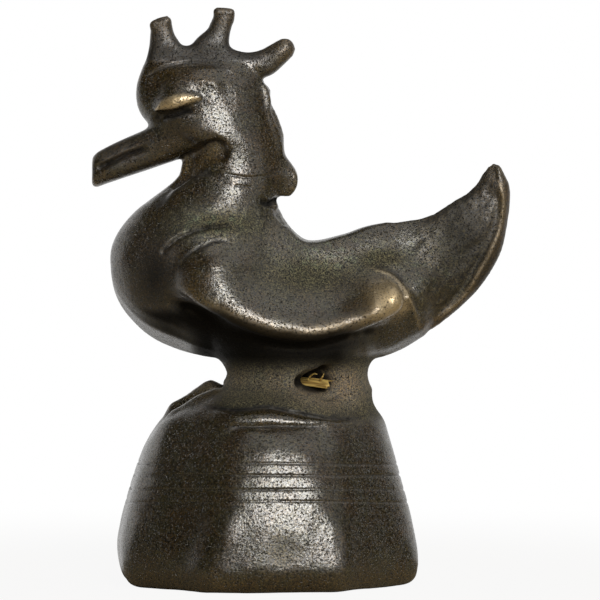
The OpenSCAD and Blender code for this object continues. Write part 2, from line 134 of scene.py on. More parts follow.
def grain(points, size, seed):
    """Smooth random values from -1 to 1 with features of about the given size."""
    cells = 64
    clear_of_zero = 1000
    lattice = np.random.default_rng(seed).uniform(-1, 1, (cells, cells, cells))
    place = points / size + clear_of_zero
    cell = np.floor(place).astype(int)
    t = place - cell
    t = t * t * (3 - 2 * t)
    total = np.zeros(len(points))
    for corner in np.ndindex(2, 2, 2):
        pick = (cell + np.array(corner)) % cells
        share = np.prod(np.where(np.array(corner) == 1, t, 1 - t), axis=1)
        total += share * lattice[pick[:, 0], pick[:, 1], pick[:, 2]]
    return total


def seen_from_side(points):
    """Where each point's sight line crosses the bird's middle plane; the far side counts as the near one."""
    eye = np.array(view_point)
    near = np.column_stack([points[:, 0], -np.abs(points[:, 1]), points[:, 2]])
    reach = eye[1] / (eye[1] - near[:, 1])
    return (eye + (near - eye) * reach[:, None])[:, [0, 2]]


# Mesh tools


def new_object(name, mesh):
    piece = bpy.data.objects.new(name, mesh)
    bpy.context.scene.collection.objects.link(piece)
    return piece


def values_of(items, name, width, kind=float):
    """A property of all vertices, edges or faces, one row each."""
    values = np.empty(len(items) * width, dtype=kind)
    items.foreach_get(name, values)
    return values.reshape(-1, width)


def mesh_points(mesh):
    return values_of(mesh.vertices, "co", 3)


def mesh_triangles(mesh):
    return values_of(mesh.polygons, "vertices", 3, np.int64)


def set_points(mesh, points):
    mesh.vertices.foreach_set("co", np.ascontiguousarray(points).ravel())
    mesh.update()


def shade_smooth(mesh):
    mesh.polygons.foreach_set("use_smooth", np.ones(len(mesh.polygons), dtype=bool))


def form_of(mesh):
    form = bmesh.new()
    form.from_mesh(mesh)
    return form


def write_to(mesh, form):
    form.to_mesh(mesh)
    form.free()
    return mesh


def new_mesh(name, form):
    return write_to(bpy.data.meshes.new(name), form)


def joined(meshes):
    form = bmesh.new()
    for mesh in meshes:
        form.from_mesh(mesh)
    return new_mesh("joined", form)


def triangles_only(mesh):
    form = form_of(mesh)
    bmesh.ops.triangulate(form, faces=form.faces)
    write_to(mesh, form)


def with_modifiers(piece):
    """New mesh of a piece as its modifiers leave it; the piece itself is removed."""
    graph = bpy.context.evaluated_depsgraph_get()
    graph.update()
    mesh = bpy.data.meshes.new_from_object(piece.evaluated_get(graph))
    bpy.data.objects.remove(piece)
    return mesh


def closed_solids(names):
    """The named CAD nodes as one mesh in millimetres, each with its split corners joined again."""
    solids = []
    for name in names:
        form = form_of(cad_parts[name].data)
        bmesh.ops.scale(form, vec=(1 / MM, 1 / MM, 1 / MM), verts=form.verts)
        bmesh.ops.remove_doubles(form, verts=form.verts, dist=1e-4)
        solids.append(new_mesh("solid", form))
    return joined(solids)


def wax_lumps(line, spacing=0.2):
    """Mesh of balls set closely along a line of [x, y, z, radius], as wax smeared on by hand."""
    form = bmesh.new()
    last = None
    for x, y, z, radius in smooth_line(line, per_span=24):
        centre = Vector((x, y, z))
        if last is None or (centre - last).length > spacing:
            bmesh.ops.create_icosphere(form, subdivisions=2, radius=radius, matrix=Matrix.Translation(centre))
            last = centre
    return new_mesh("lumps", form)


def remeshed(mesh, voxel):
    piece = new_object("remeshed", mesh)
    remesh = piece.modifiers.new("remesh", "REMESH")
    remesh.mode = "VOXEL"
    remesh.voxel_size = voxel
    return with_modifiers(piece)


def keep_outer(mesh):
    """Leaves only the shell that holds the highest vertex, so no closed bubble stays inside."""
    form = form_of(mesh)
    start = max(form.verts, key=lambda v: v.co.z)
    reached = {start}
    front = [start]
    while front:
        vert = front.pop()
        for edge in vert.link_edges:
            other = edge.other_vert(vert)
            if other not in reached:
                reached.add(other)
                front.append(other)
    bmesh.ops.delete(form, geom=[v for v in form.verts if v not in reached], context="VERTS")
    write_to(mesh, form)


def refine(mesh, wanted):
    """Halves the edges whose two ends are both wanted."""
    form = form_of(mesh)
    chosen = [e for e in form.edges if wanted[e.verts[0].index] and wanted[e.verts[1].index]]
    bmesh.ops.subdivide_edges(form, edges=chosen, cuts=1, use_grid_fill=True)
    write_to(mesh, form)


def neighbour_mean(values, edges, count):
    total = np.empty_like(values)
    for axis in range(values.shape[1]):
        column = values[:, axis]
        total[:, axis] = (np.bincount(edges[:, 0], column[edges[:, 1]], len(values))
                          + np.bincount(edges[:, 1], column[edges[:, 0]], len(values)))
    return total / count[:, None]


def relaxed(values, edges, rounds, weight=1.0, keep_size=True):
    """Values evened out over the mesh; with keep_size a form doesn't shrink."""
    inward, outward = 0.5, 0.53
    count = np.maximum(1, np.bincount(edges.ravel(), minlength=len(values)))
    weight = np.broadcast_to(weight, len(values))[:, None]
    edges = edges[(weight[edges[:, 0], 0] > 0) | (weight[edges[:, 1], 0] > 0)]
    for _ in range(rounds):
        values = values + inward * weight * (neighbour_mean(values, edges, count) - values)
        if keep_size:
            values = values - outward * weight * (neighbour_mean(values, edges, count) - values)
    return values


class Skin:
    """Mesh under the sculptor's hand: its points, its outward directions and its side view."""

    def __init__(self, mesh):
        self.mesh = mesh
        self.refresh()

    def refresh(self):
        self.points = mesh_points(self.mesh)
        self.normals = values_of(self.mesh.vertex_normals, "vector", 3)
        self.edges = values_of(self.mesh.edges, "vertices", 2, np.int64)
        self.x, self.y, self.z = self.points.T
        self.off_middle = np.abs(self.y)
        self.near_side = rise(-self.y, 1.5, 3)
        self.one_side = np.column_stack([self.x, self.off_middle, self.z])
        self.side_view = seen_from_side(self.points)
        self.along, self.height = self.side_view.T
        self.facing_side = np.abs(self.normals[:, 1])
        self.sideways = rise(self.facing_side, 0.08, 0.4)

    def place(self, points):
        set_points(self.mesh, points)
        self.refresh()

    def push(self, amount):
        """Moves each point outwards."""
        self.place(self.points + self.normals * amount[:, None])

    def shift(self, x=0.0, y=0.0, z=0.0):
        """Moves each point along the axes."""
        moved = self.points.copy()
        for axis, amount in enumerate((x, y, z)):
            moved[:, axis] += amount
        self.place(moved)

    def soften(self, weight, rounds):
        """Evens out the form, most where the weight is near 1."""
        weight = np.where(weight > 0.02, np.clip(weight, 0, 1), 0)
        self.place(relaxed(self.points, self.edges, rounds, weight, False))

    def from_line(self, line, reach):
        """Distance from a line of the side view and the share passed, for the vertices within reach."""
        line = smooth_line(line)
        low = line.min(0) - reach
        high = line.max(0) + reach
        near = np.all((self.side_view > low) & (self.side_view < high), axis=1)
        gap = np.full(len(self.points), 1e9)
        share = np.zeros(len(self.points))
        gap[near], share[near] = near_line(self.side_view[near], line)
        return gap, share

    def stroke(self, line, width, height, fade=0.15, offset=0.0):
        """Height that a line of the side view adds to both flanks, running out towards its ends."""
        first, last = np.broadcast_to(width, 2)
        gap, share = self.from_line(line, 4 * max(first, last) + abs(offset))
        rounded = hump(gap, offset, first + (last - first) * share)
        return height * rounded * run_out(share, fade, fade) * self.sideways

    def trench(self, line, half_width, wall, depth):
        """Hollow of even depth along a line of the side view, with round ends."""
        gap, _ = self.from_line(line, half_width + wall)
        return -depth * rise(half_width - np.abs(gap), -wall / 2, wall / 2) * self.sideways

    def spots(self, *rows):
        """Sum of soft spots of the side view, each given as (strength, place, size)."""
        return blobs(self.side_view, rows)

    def hole(self, place, size):
        """1 in the middle of an oval hole of the side view, 0 on its edge, and below 0 outside it."""
        return 1 - np.sum(((self.side_view - place) / size) ** 2, axis=1)


# Lines of the modelling as the side view shows them: places are [along the bird, height]
wing_edge = [
    [-10, 31.3], [-8.8, 30.1], [-7.1, 29.1], [-5.2, 28.2], [-3.9, 27.4], [-2.3, 26.7], [-0.2, 26],
    [1.8, 25.6], [3.4, 25.5], [5, 25.7], [7, 26.2], [9, 26.7], [10.5, 27.2], [12.3, 27.8], [14, 28.3],
]
wing_crest = [
    [-5.3, 34.6], [-4.9, 33.4], [-4.7, 31.9], [-4.1, 30.4], [-3.1, 29.1], [-0.9, 27.9], [1.4, 27.2],
    [4.5, 26.6], [7.6, 26.9], [10, 27.8], [11.4, 28.6], [12.8, 29.9],
]
wing_curl = [
    [9.5, 33.3], [10.5, 33.2], [11.7, 32.8], [13, 32.3], [13.8, 31.6], [14.5, 30.7], [15.1, 29.5],
    [15.6, 28.3], [16, 26.9],
]
wing_brim = [[-8.1, 30.4], [-7.1, 29.7], [-6.1, 29.1], [-5, 28.5]]
outer_arc = [
    [-11.2, 34.2], [-10.6, 35.1], [-9.4, 36.1], [-7.9, 36.8], [-6.3, 37.2], [-4.8, 37.4], [-3.6, 37.3],
]
inner_arc = [[-9.4, 33.4], [-8.8, 33.9], [-7.9, 34.7], [-6.6, 35.3], [-5.4, 35.7], [-4, 35.7]]
throat = [[-9.6, 42.6], [-8.6, 43.4], [-7.5, 44.2], [-6.2, 44.9], [-5.4, 45.2]]
neck_edge = [[-5.6, 43.5], [-6.6, 42.9], [-8.5, 42.1], [-10, 41], [-11.3, 39.7], [-11.9, 38.9]]
neck_rings = [
    [[-4.7, 42.9], [-2.3, 42.5], [-0.4, 42.6], [1.4, 42.9]],
    [[-3.6, 41.7], [-2.3, 41.5], [-1.4, 41.4]],
]
eye_middle = [[-11.7, 49.6], [-10.8, 50.1], [-9.4, 50.5], [-8.1, 50.7], [-7.2, 50.7]]
eye_hollow = [[-12, 49.1], [-11.3, 48.8], [-10, 48.9], [-8.8, 49.3], [-7.8, 49.7]]
cap_edge = [
    [-12.9, 52.9], [-12, 53.5], [-10.7, 54.1], [-9.4, 54.4], [-7.8, 54.6], [-6.4, 54.4], [-5.2, 54.1],
    [-4.3, 53.6], [-3.6, 53.2],
]
mouth = [[-18.1, 43.3], [-16.2, 44.2], [-14.9, 44.8], [-13.6, 45.3], [-12.6, 45.7]]
tail_bead = [
    [16.6, 27.2], [18.7, 28.5], [20.6, 30.2], [22, 32.5], [23.2, 34.7], [24.3, 37.3], [24.6, 39.9],
    [24.3, 41.6],
]
shoulder_edge = [
    [-7.1, 18.6], [-5.8, 18.3], [-2.8, 18.1], [-0.3, 18.4], [2.3, 18], [4.9, 17.5], [7, 17.2], [10.2, 17.2],
]
shoulder_lip = [[-2.9, 17], [-0.6, 17.1], [1.8, 16.9], [3.9, 16.6], [6.1, 16.1]]
front_rib = [[-3.6, 8.4], [-5.2, 4.4], [-6.6, 1], [-8, -2.6]]
rear_rib = [[7, 8], [7.6, 4.6], [8, 1.4], [8.3, -2]]

# Place of the passage's side mouth, and heights of the rings round the base and of the comb's foot
side_hole = [5, 21]
base_rings = [12.4, 11.2, 9.7, 8.4]
comb_foot = 54.3

# Wax pressed on to the solids, in lines of [along, across, height, radius]
bill_side = [[-16.6, 1.2, 43.9, 0.85], [-14.4, 1.25, 44.9, 0.95], [-12, 1.3, 46, 1.1]]
wing_knob = [
    [9.2, 8.3, 27.6, 0.7], [10.6, 7.9, 28.4, 0.95], [11.8, 7.2, 29.4, 1.35], [12.7, 6.6, 30.1, 1.75],
]
front_prong = [[-11.1, 0, 58.1, 1.13], [-11, 0, 56.9, 1.4], [-10.7, 0, 55.6, 1.9], [-10.6, 0, 54.6, 2.3]]
middle_prong = [
    [-4.5, 0, 59.2, 1.08], [-4.7, 0, 58.8, 1.09], [-5, 0, 58, 1.2], [-5.3, 0, 57.1, 1.35], [-6, 0, 55.9, 2],
]
rear_prong = [
    [1.8, 0, 55.9, 1.15], [0.8, 0, 55.2, 1.3], [-0.3, 0, 54.5, 1.45], [-1.7, 0, 54.1, 1.5],
    [-3.1, 0, 53.9, 1.8],
]
prong_tips = []
for across in (-0.5, 0, 0.5):
    prong_tips.append([[-11.8, across, 58.4, 0.56], [-10.6, across, 58.8, 0.5]])
    prong_tips.append([[-5.2, across, 59.8, 0.5], [-3.9, across, 59.7, 0.5]])
mane_ridge = [
    [-0.4, 0, 51.5, 0.7], [-0.3, 0, 50.2, 0.65], [0.4, 0, 48.3, 0.85], [0.9, 0, 46.9, 0.85],
    [1.1, 0, 45.4, 0.75],
]
nape_bulge = [
    [0.5, 0, 44.3, 1.5], [1.5, 0, 43.3, 1.3], [2.2, 0, 42.6, 1.0], [1.5, 0, 42.2, 1.2], [0.3, 0, 41.6, 1.3],
]
nape_side = [[-0.9, 1.9, 43.8, 1.3], [0.4, 1.3, 43, 1.25], [1.4, 0.7, 42.6, 1.05]]
back_nub = [[11.6, 0, 36.9, 0.8], [12.4, 0, 37.3, 0.75], [13.2, 0, 37.2, 0.7]]


def both_sides(line):
    return [[[x, side * y, z, radius] for x, y, z, radius in line] for side in (-1, 1)]


wax = both_sides(bill_side) + both_sides(wing_knob) + [front_prong, middle_prong, rear_prong] + prong_tips
wax += [mane_ridge, nape_bulge] + both_sides(nape_side) + [back_nub]

# The casting: one skin over the bronze solids and the wax, which stands in for the prongs' solids
voxel = 0.24
solids = [name for name in BRONZE_NODES if "crest" not in name]
casting_mesh = remeshed(joined([closed_solids(solids)] + [wax_lumps(line) for line in wax]), voxel)
keep_outer(casting_mesh)
shade_smooth(casting_mesh)
skin = Skin(casting_mesh)
skin.place(relaxed(skin.points, skin.edges, rounds=12))

# The solids were measured for a view from higher up: their flanks move down to where the photograph has them
flank_drop = 0.044
ridge_drop = 0.5
skin.shift(z=-flank_drop * skin.off_middle * rise(skin.z, 22, 26))
wing_ridge = rise(skin.off_middle, 5, 8) * hump(skin.z, 27, 2.2) * band(skin.x, -6, -2, 9, 12)
skin.shift(z=-ridge_drop * wing_ridge)


def tail_face(inset):
    """1 on the face of the tail, from an inset behind its beaded edge."""
    gap, _ = skin.from_line(tail_bead, reach=12)
    return rise(skin.x, 14.4, 16) * band(gap, inset, inset + 0.8, 12, 14) * skin.sideways


# Facets of the solids are rubbed away, most on the base, the flanks and the face of the tail
side_dish = blob(skin.points, (8.5, -7.5, 20.2), (4, 4, 2.2))
flank_pan = band(skin.height, 28.6, 30.4, 38.5, 41) * band(skin.x, -4, -1, 11, 14) * skin.sideways
base_side = rise(skin.z, 19, 17.5) * (0.3 + 0.7 * rise(skin.z, 0.6, 3.5))
skin.soften(base_side + tail_face(0.2) + 1.3 * side_dish + flank_pan, rounds=100)
skin.soften(band(skin.z, 8, 14, 18.4, 19.4), rounds=120)
skin.soften(band(skin.z, 2.5, 5, 16, 17.5), rounds=150)

# The outline gets back what the rubbing took, the head leans inwards above the eye, and the comb is thin
tail_gain, rear_gain, front_gain = 0.3, 0.25, 0.55
on_base = band(skin.z, 1, 5, 16.5, 18.5)
wider = tail_gain * rise(skin.x, 18, 22)
wider += (rear_gain * rise(skin.x, 6, 13) - front_gain * rise(-skin.x, 5, 12)) * on_base
brow_level, brow_slope = 48.5, 0.15
lean = brow_slope * np.clip(skin.z - brow_level, 0, 4.5)
lean *= rise(skin.off_middle, 0.5, 2.5) * rise(skin.x, 2, 0)
comb_half = 1.1 + 0.1 * (skin.z - 55)
too_thick = np.clip(skin.off_middle - lean - comb_half, 0, None) * rise(skin.z, 54, 55.4)
skin.shift(x=wider, y=-np.sign(skin.y) * (lean + 0.9 * too_thick))

# The near and far sides of the base bow out, and their tops lean inwards
top_lean = -0.045 * np.clip(skin.z - 13, 0, 4.5) ** 2 * rise(skin.facing_side, 0.55, 0.85)
facet_bulge = 0.35 * np.clip(1 - ((skin.x - 1.2) / 6) ** 2, 0, 1) * rise(skin.facing_side, 0.8, 0.93)
facet_bulge *= rise(skin.z, 0.5, 2.5)
skin.push((top_lean + facet_bulge) * rise(skin.z, 19, 18))

# The seams where the lumps meet are smoothed over by hand
wing_area = band(skin.along, -10, -7.5, 9.5, 11.5) * band(skin.height, 25.4, 26.6, 35, 37)
skin.soften(wing_area * skin.sideways, rounds=30)
seams = [
    (1.4, (-9.5, 4, 52.4), (3.6, 3, 1.5)),
    (1.4, (-12, 3, 47), (2.6, 3, 2.2)),
    (1.2, (0.6, 1.5, 43.6), (2, 2.5, 3)),
    (1, (14.5, 0, 27.5), (2.2, 9, 1.6)),
    (1, (-6.4, 3.3, 45), (2, 2.5, 1.5)),
    (1, (-5.5, 0, 55.4), (6.5, 3, 1.2)),
    (1, (-6.8, 0, 57.2), (1.2, 3, 1)),
]
mouth_gap, _ = skin.from_line(mouth, reach=4)
neck_root = hump(skin.z, 37.4, 1.8)
skin.soften(blobs(skin.one_side, seams) + neck_root + hump(mouth_gap, 0, 0.9) * skin.sideways, rounds=40)

# Large forms: the wing with its undercut and domed front, the jaw and the dished flank
edge_gap, edge_share = skin.from_line(wing_edge, reach=9)
undercut = -0.8 * hump(edge_gap, -1.0, 0.9) * run_out(edge_share, 0.1, 0.2) * skin.sideways
roll = skin.stroke(wing_crest, width=(2.9, 1.4), height=0.6, fade=0.08)
brim = skin.stroke(wing_brim, width=0.5, height=0.2, fade=0.3)
flank = skin.facing_side * rise(skin.off_middle, 1.5, 4)
dome = skin.spots((0.35, (-6.6, 31.2), (2.6, 2.4)), (0.45, (-8.6, 31), (1.7, 2)),
                  (0.35, (-5.9, 33.9), (1.6, 1.2)))
jaw = skin.spots((0.6, (-9, 46.6), (3.6, 1.4)))
dish = skin.spots((-0.6, (5, 31.6), (5.2, 2.4)))
skin.push(undercut + roll + brim + (dome + jaw + dish) * flank)


def across_eye():
    """Where each point lies across the eye: 0 on its middle line, 1 on its upper and -1 on its lower edge."""
    gap, share = skin.from_line(eye_middle, reach=2)
    half_height = 0.8 * np.sin(math.pi * np.clip(share, 0.03, 0.97)) ** 0.7
    return gap / half_height


# Smaller forms: the curl behind the wing, the throat, the eye, the mouth, the cap, the tail and the nape
curl_gap, curl_share = skin.from_line(wing_curl, reach=5)
curl_ends = rise(curl_share, 0.02, 0.3) * rise(1 - curl_share, 0, 0.2)
curl = (0.22 * hump(curl_gap, -0.1, 0.22) - 0.1 * hump(curl_gap, 0.6, 0.4)) * curl_ends * skin.sideways
pocket = skin.trench(throat, half_width=1.2, wall=0.5, depth=0.9)
neck_crease = skin.stroke(neck_edge, width=0.55, height=-0.3, fade=0.2)
crown_drop = 0.45
eye_level = across_eye() + crown_drop
steep_below = np.sqrt(np.clip(1 - (eye_level / (1 - crown_drop)) ** 2, 0, 1))
flat_above = np.clip(1 - (eye_level / (1 + crown_drop)) ** 2, 0, 1)
eye_lens = 0.55 * np.where(eye_level < 0, steep_below, flat_above) * skin.sideways
eye_groove = skin.stroke(eye_hollow, width=0.5, height=-0.6, fade=0.25)
mouth_valley = skin.stroke(mouth, width=0.26, height=-0.35, fade=0.12)
cap_gap, cap_share = skin.from_line(cap_edge, reach=4)
cap_step = -0.22 * rise(-cap_gap, -0.2, 0.3) * rise(2.2 + cap_gap, 0, 1.4)
cap_step *= run_out(cap_share, 0.1, 0.15) * skin.sideways
fin_hollow = skin.spots((-0.3, (19.5, 34), (4, 3.5))) * skin.sideways
bead = skin.stroke(tail_bead, width=0.4, height=-0.16, fade=0.06, offset=0.5)
bead += skin.stroke(tail_bead, width=0.3, height=0.12, fade=0.06, offset=-0.2)
wavy = 0.35 * grain(skin.points, size=0.8, seed=7)
behind_neck = rise(skin.along + 2 * wavy, -1.2, 0) * rise(skin.along, 4, 3)
nape_notch = -0.8 * hump(skin.height + wavy, 39.9, 0.35) * behind_neck
skin.push(curl + pocket + neck_crease + eye_lens + eye_groove + mouth_valley
          + cap_step + fin_hollow + bead + nape_notch)

# Base: lips of the worn channel, the drawn-in rear, the shoulder's lip, the ribs and the mouth of the passage
on_front = band(skin.x, -11.8, -9.5, -5.6, -4.2) * rise(skin.z, 16.8, 17.8)
on_front *= rise(skin.normals[:, 2], 0.1, 0.5)
far_lip = (0.9 + 0.35 * hump(skin.x, -6, 1)) * hump(skin.y, 2.9, 1.0)
near_lip = 0.45 * hump(skin.y, -3.1, 1.0)
rear = -0.6 * blob(skin.points, (10.8, 0, 19.2), (1.8, 6, 1.3))
lip = skin.stroke(shoulder_lip, width=0.6, height=0.2, fade=0.25)
ribs = skin.stroke(front_rib, width=1.8, height=0.5, fade=0.35)
ribs += skin.stroke(rear_rib, width=1.3, height=0.35, fade=0.35)
front_hollow = skin.spots((-0.2, (1.6, 2.6), (2.6, 2))) * skin.sideways
skin.push((far_lip + near_lip) * on_front + rear + lip + ribs + front_hollow)
bore_inward = np.array([-0.73, 0.68, 0])
funnel = 1.8 * np.clip(skin.hole(side_hole, [2.2, 1.45]), 0, 1)
funnel *= skin.near_side * rise(skin.z, 19, 19.6)
skin.place(skin.points + funnel[:, None] * bore_inward)
skin.place(relaxed(skin.points, skin.edges, rounds=4))
under_knob = blob(skin.one_side, (9.9, 8.1, 26.8), (1.6, 1.3, 0.8))
skin.soften(1.3 * under_knob, rounds=24)

# Fine lines need a finer mesh
fine = np.zeros(len(skin.points), dtype=bool)
for line in [outer_arc, inner_arc, cap_edge, mouth, eye_hollow, tail_bead, shoulder_edge] + neck_rings:
    gap, _ = skin.from_line(line, reach=1)
    fine |= (np.abs(gap) < 0.8) & (skin.facing_side > 0.1)
for ring in base_rings:
    fine |= np.abs(skin.height - ring) < 0.5
refine(casting_mesh, fine)
skin.refresh()

# Fine lines cut into the wax, uneven as a hand makes them
uneven = np.clip(0.85 + 0.5 * grain(skin.points, size=0.7, seed=8), 0.3, 1.3)
cuts = skin.stroke(outer_arc, width=0.26, height=-0.32, fade=0.08)
cuts = uneven * (cuts + skin.stroke(inner_arc, width=0.2, height=-0.11, fade=0.08))
cuts += skin.stroke(cap_edge, width=0.17, height=-0.12, fade=0.12)
cuts += skin.stroke(mouth, width=0.2, height=-0.15, fade=0.25)
cuts += skin.stroke(shoulder_edge, width=0.32, height=-0.3, fade=0.2)
for ring in neck_rings:
    cuts += skin.stroke(ring, width=0.12, height=-0.1, fade=0.2)
round_base = np.arctan2(skin.y, skin.x)
for i, ring in enumerate(base_rings):
    level = ring + 0.05 * np.sin(3 * round_base + 2 * i)
    depth = 0.12 * np.clip(0.8 + 0.5 * grain(skin.points, size=5, seed=20 + i), 0.45, 1)
    cuts -= depth * hump(skin.height, level, 0.12)
skin.push(cuts)

# Uneven cast surface, crusted at the root of the neck, streaked on the tail
swell = 0.1 * grain(skin.points, size=5, seed=1) + 0.04 * grain(skin.points, size=1.8, seed=2)
crusted = blobs(skin.one_side, [(1, (1.5, 0, 38.6), (3, 6, 2.4)), (1, (-6, 0, 38.2), (5, 8, 1.4))])
crust = 0.1 * grain(skin.points, size=0.7, seed=3) + 0.06 * grain(skin.points, size=0.35, seed=4)
streak_angle = math.radians(42)
streak_length = 4
along_streak = skin.x * math.cos(streak_angle) + skin.z * math.sin(streak_angle)
across_streak = skin.z * math.cos(streak_angle) - skin.x * math.sin(streak_angle)
streaked = np.column_stack([along_streak / streak_length, skin.y, across_streak])
streaks = 0.14 * grain(streaked, size=0.9, seed=5) + 0.05 * grain(skin.points, size=0.5, seed=6)
skin.push(swell + rise(crusted, 0.2, 0.9) * crust + tail_face(0.4) * streaks)
below_ground = np.maximum(-skin.z, 0)
skin.shift(z=below_ground)

# What the material needs to know at each point


def relief(rounds):
    """How far the skin stands above its own form evened out over some rounds."""
    even = relaxed(skin.points, skin.edges, rounds, keep_size=False)
    return np.sum((skin.points - even) * skin.normals, axis=1)


fine_relief = relief(16)
broad_relief = relief(160)
edge_gap, edge_share = skin.from_line(wing_edge, reach=9)
bead_gap, bead_share = skin.from_line(tail_bead, reach=4)
curl_gap, curl_share = skin.from_line(wing_curl, reach=2)
crest_gap, crest_share = skin.from_line(wing_crest, reach=4)
throat_gap, _ = skin.from_line(throat, reach=3)
in_throat = rise(1.3 - np.abs(throat_gap), 0, 0.4) * rise(skin.height, 41.5, 42.5)

# Painted shade under the downward-facing belly, below the wing and along the wing's lower edge; dark patina
# in sunk parts, darker cut lines, and more painted shade listed below
belly_shade = rise(-skin.normals[:, 2], -0.1, 0.3) * band(skin.z, 21.8, 24, 28, 30) * rise(skin.x, 11, 7)
belly_shade *= 1 - rise(-skin.x, 6.5, 9) * rise(skin.facing_side, 0.85, 0.4)
shade_below_wing = hump(edge_gap, -1.6, 1.2) * rise(edge_share, 0, 0.1) * rise(1 - edge_share, 0.05, 0.3)
shade_on_wing_edge = 0.8 * hump(edge_gap, -0.25, 0.35) * band(edge_share, 0.05, 0.12, 0.4, 0.6)
belly_shade = np.maximum.reduce([belly_shade, shade_below_wing, shade_on_wing_edge])
sunk = 0.8 * rise(-fine_relief, 0.02, 0.1) + 0.4 * rise(-broad_relief, 0.25, 1)
on_comb = rise(skin.height, comb_foot, 55) * rise(skin.along, 0.5, -1.5)
recesses = [
    np.clip(sunk + belly_shade, 0, 1),
    # painted shade inside the passage's mouth
    0.9 * rise(skin.hole(side_hole, [2, 1.3]), 0, 0.5) * skin.near_side,
    skin.spots((0.75, (20.5, 36), (5, 7.5))),
    # painted shade on the breast in front of the wing
    skin.spots((0.85, (-11.8, 32.4), (2.6, 4.6))),
    skin.spots((0.6, (-15.5, 45), (3.4, 2))),
    # painted shade on the comb and the rear prong, whose upward faces would catch the lamps
    on_comb * (0.65 - 0.2 * rise(skin.height, 55.5, 57)),
    0.35 * rise(skin.height, 52.6, 53.4) * rise(skin.along, -1.5, 0),
]
dark_lines = [
    (outer_arc, 0.3, 0.8), (inner_arc, 0.26, 0.8), (cap_edge, 0.25, 0.6), (mouth, 0.3, 1.0),
    (eye_hollow, 0.5, 0.9), (shoulder_edge, 0.3, 0.9), (neck_edge, 0.5, 0.6),
]
broken = np.clip(0.9 + 0.5 * grain(skin.points, size=0.5, seed=11), 0.4, 1)
for line, width, darkness in dark_lines:
    recesses.append(skin.stroke(line, width, darkness, fade=0.1) * broken)
# Painted shade and dark patina in one mask, lifted in the throat's pocket
hollow = np.maximum.reduce(recesses) * (1 - 0.8 * in_throat)

# Bare metal where hands have rubbed
ridge_gold = hump(edge_gap, 0.45, 0.6) * rise(edge_share, 0.1, 0.3) * skin.sideways
knob_gold = skin.spots((1, (12.8, 29.8), (1.8, 1.6))) * rise(skin.off_middle, 4, 5)
eye_gold = rise(1 - np.abs(across_eye()), -0.1, 0.6) * skin.sideways
bead_gold = hump(bead_gap, -0.15, 0.22) * rise(bead_share, 0.02, 0.2)
curl_gold = hump(curl_gap, -0.1, 0.16) * rise(curl_share, 0.05, 0.3) * skin.sideways
wear = 0.25 * ridge_gold + knob_gold + 0.8 * eye_gold + 0.4 * bead_gold + 0.3 * curl_gold
wear = np.clip(wear + 0.1 * rise(broad_relief, 0.25, 0.8), 0, 1) * (1 - 0.8 * hollow)

# Green corrosion, and earth round the passage and in the throat
green = skin.spots((1, (-6, 37.6), (4, 1.4)), (1, (6, 34.5), (4.5, 2)), (0.8, (18, 33), (4, 4)),
                   (3, (1.7, 20.5), (0.35, 0.5)), (0.9, (0, 21.6), (2.2, 1)))
earth = 1.2 * blob(skin.points, (7, -6.5, 20.4), (4.2, 4, 2))
earth += 0.5 * hump(skin.z, 21.4, 1.6) + 0.5 * in_throat

# Matte crust above the shoulder's edge, which is blurred towards the tail, and in patches
foot_gap, foot_share = skin.from_line(shoulder_edge + [[17, 17.4]], reach=8)
blur = 1.6 * rise(skin.x, 5, 10)
foot = band(foot_gap, -0.1 - blur, 0.3 + blur, 6, 8) * rise(skin.z, 25, 23) * rise(foot_share, 0.02, 0.15)
matte = np.maximum(foot, hump(skin.z, 21.8, 1.6))
matte += skin.spots((0.7, (4.5, 32.3), (6, 2.6)), (0.6, (20, 34.5), (5, 6.5)), (0.7, (-5, 37.6), (6, 1.9)),
                    (0.35, (1.4, 3.2), (2.4, 2.6)), (0.7, (12, 34), (2.5, 1.2)))

# Warmer brown on what stands out, and a duller sheen on the tail, the head and the wing's crest
prong_ends = skin.spots((1, (-11.1, 58.4), (1.5, 1.3)), (1, (-4.5, 59.4), (1.6, 1.5)),
                        (1, (2, 56), (1.6, 1.6)))
warm_patches = skin.spots((0.7, (-15.5, 45.4), (3, 1.6)), (0.6, (-9, 53.2), (3.5, 0.9)),
                          (0.6, (-12, 33), (2.4, 4)), (0.6, (-7.8, 31), (1.8, 1.8)),
                          (0.6, (12, 29.6), (2.8, 2.4)), (0.4, (0.3, 46), (1.3, 4)))
on_tail = rise(skin.x, 15, 17)
warm_edges = 0.9 * ridge_gold + 0.9 * hump(bead_gap, -0.4, 0.45) + 0.5 * rise(skin.z, 2.4, 0.8)
warm = prong_ends + warm_patches + warm_edges + 0.35 * on_tail
satin = 0.4 * hump(crest_gap, 0.4, 1.2) * rise(crest_share, 0.35, 0.55) + 0.3 * rise(skin.z, comb_foot, 55.3)
satin += 0.5 * on_tail + skin.spots((0.5, (-9.5, 47.6), (3.5, 1.3)), (0.5, (-15, 45), (4, 2.4)))

looks = {
    "wear": wear,
    "hollow": hollow,
    "green": np.clip(green, 0, 2),
    "earth": np.clip(earth, 0, 1),
    "matte": np.clip(matte, 0, 1),
    "warm": np.clip(warm, 0, 1),
    "satin": np.clip(satin, 0, 1),
}


def store_looks(mesh, values_by_name):
    for name, values in values_by_name.items():
        attribute = mesh.attributes.new(name, "FLOAT", "POINT")
        attribute.data.foreach_set("value", values.astype(np.float32))


def finish_piece(name, mesh, slot, *nodes):
    """A finished mesh in millimetres as a piece that stands for its CAD nodes."""
    set_points(mesh, mesh_points(mesh) * MM)
    piece = new_object(name, mesh)
    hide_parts(*nodes)
    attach(piece, "root")
    return piece


# The skin is parted into the founder's lumps: blocks and slabs take them off it, one after another


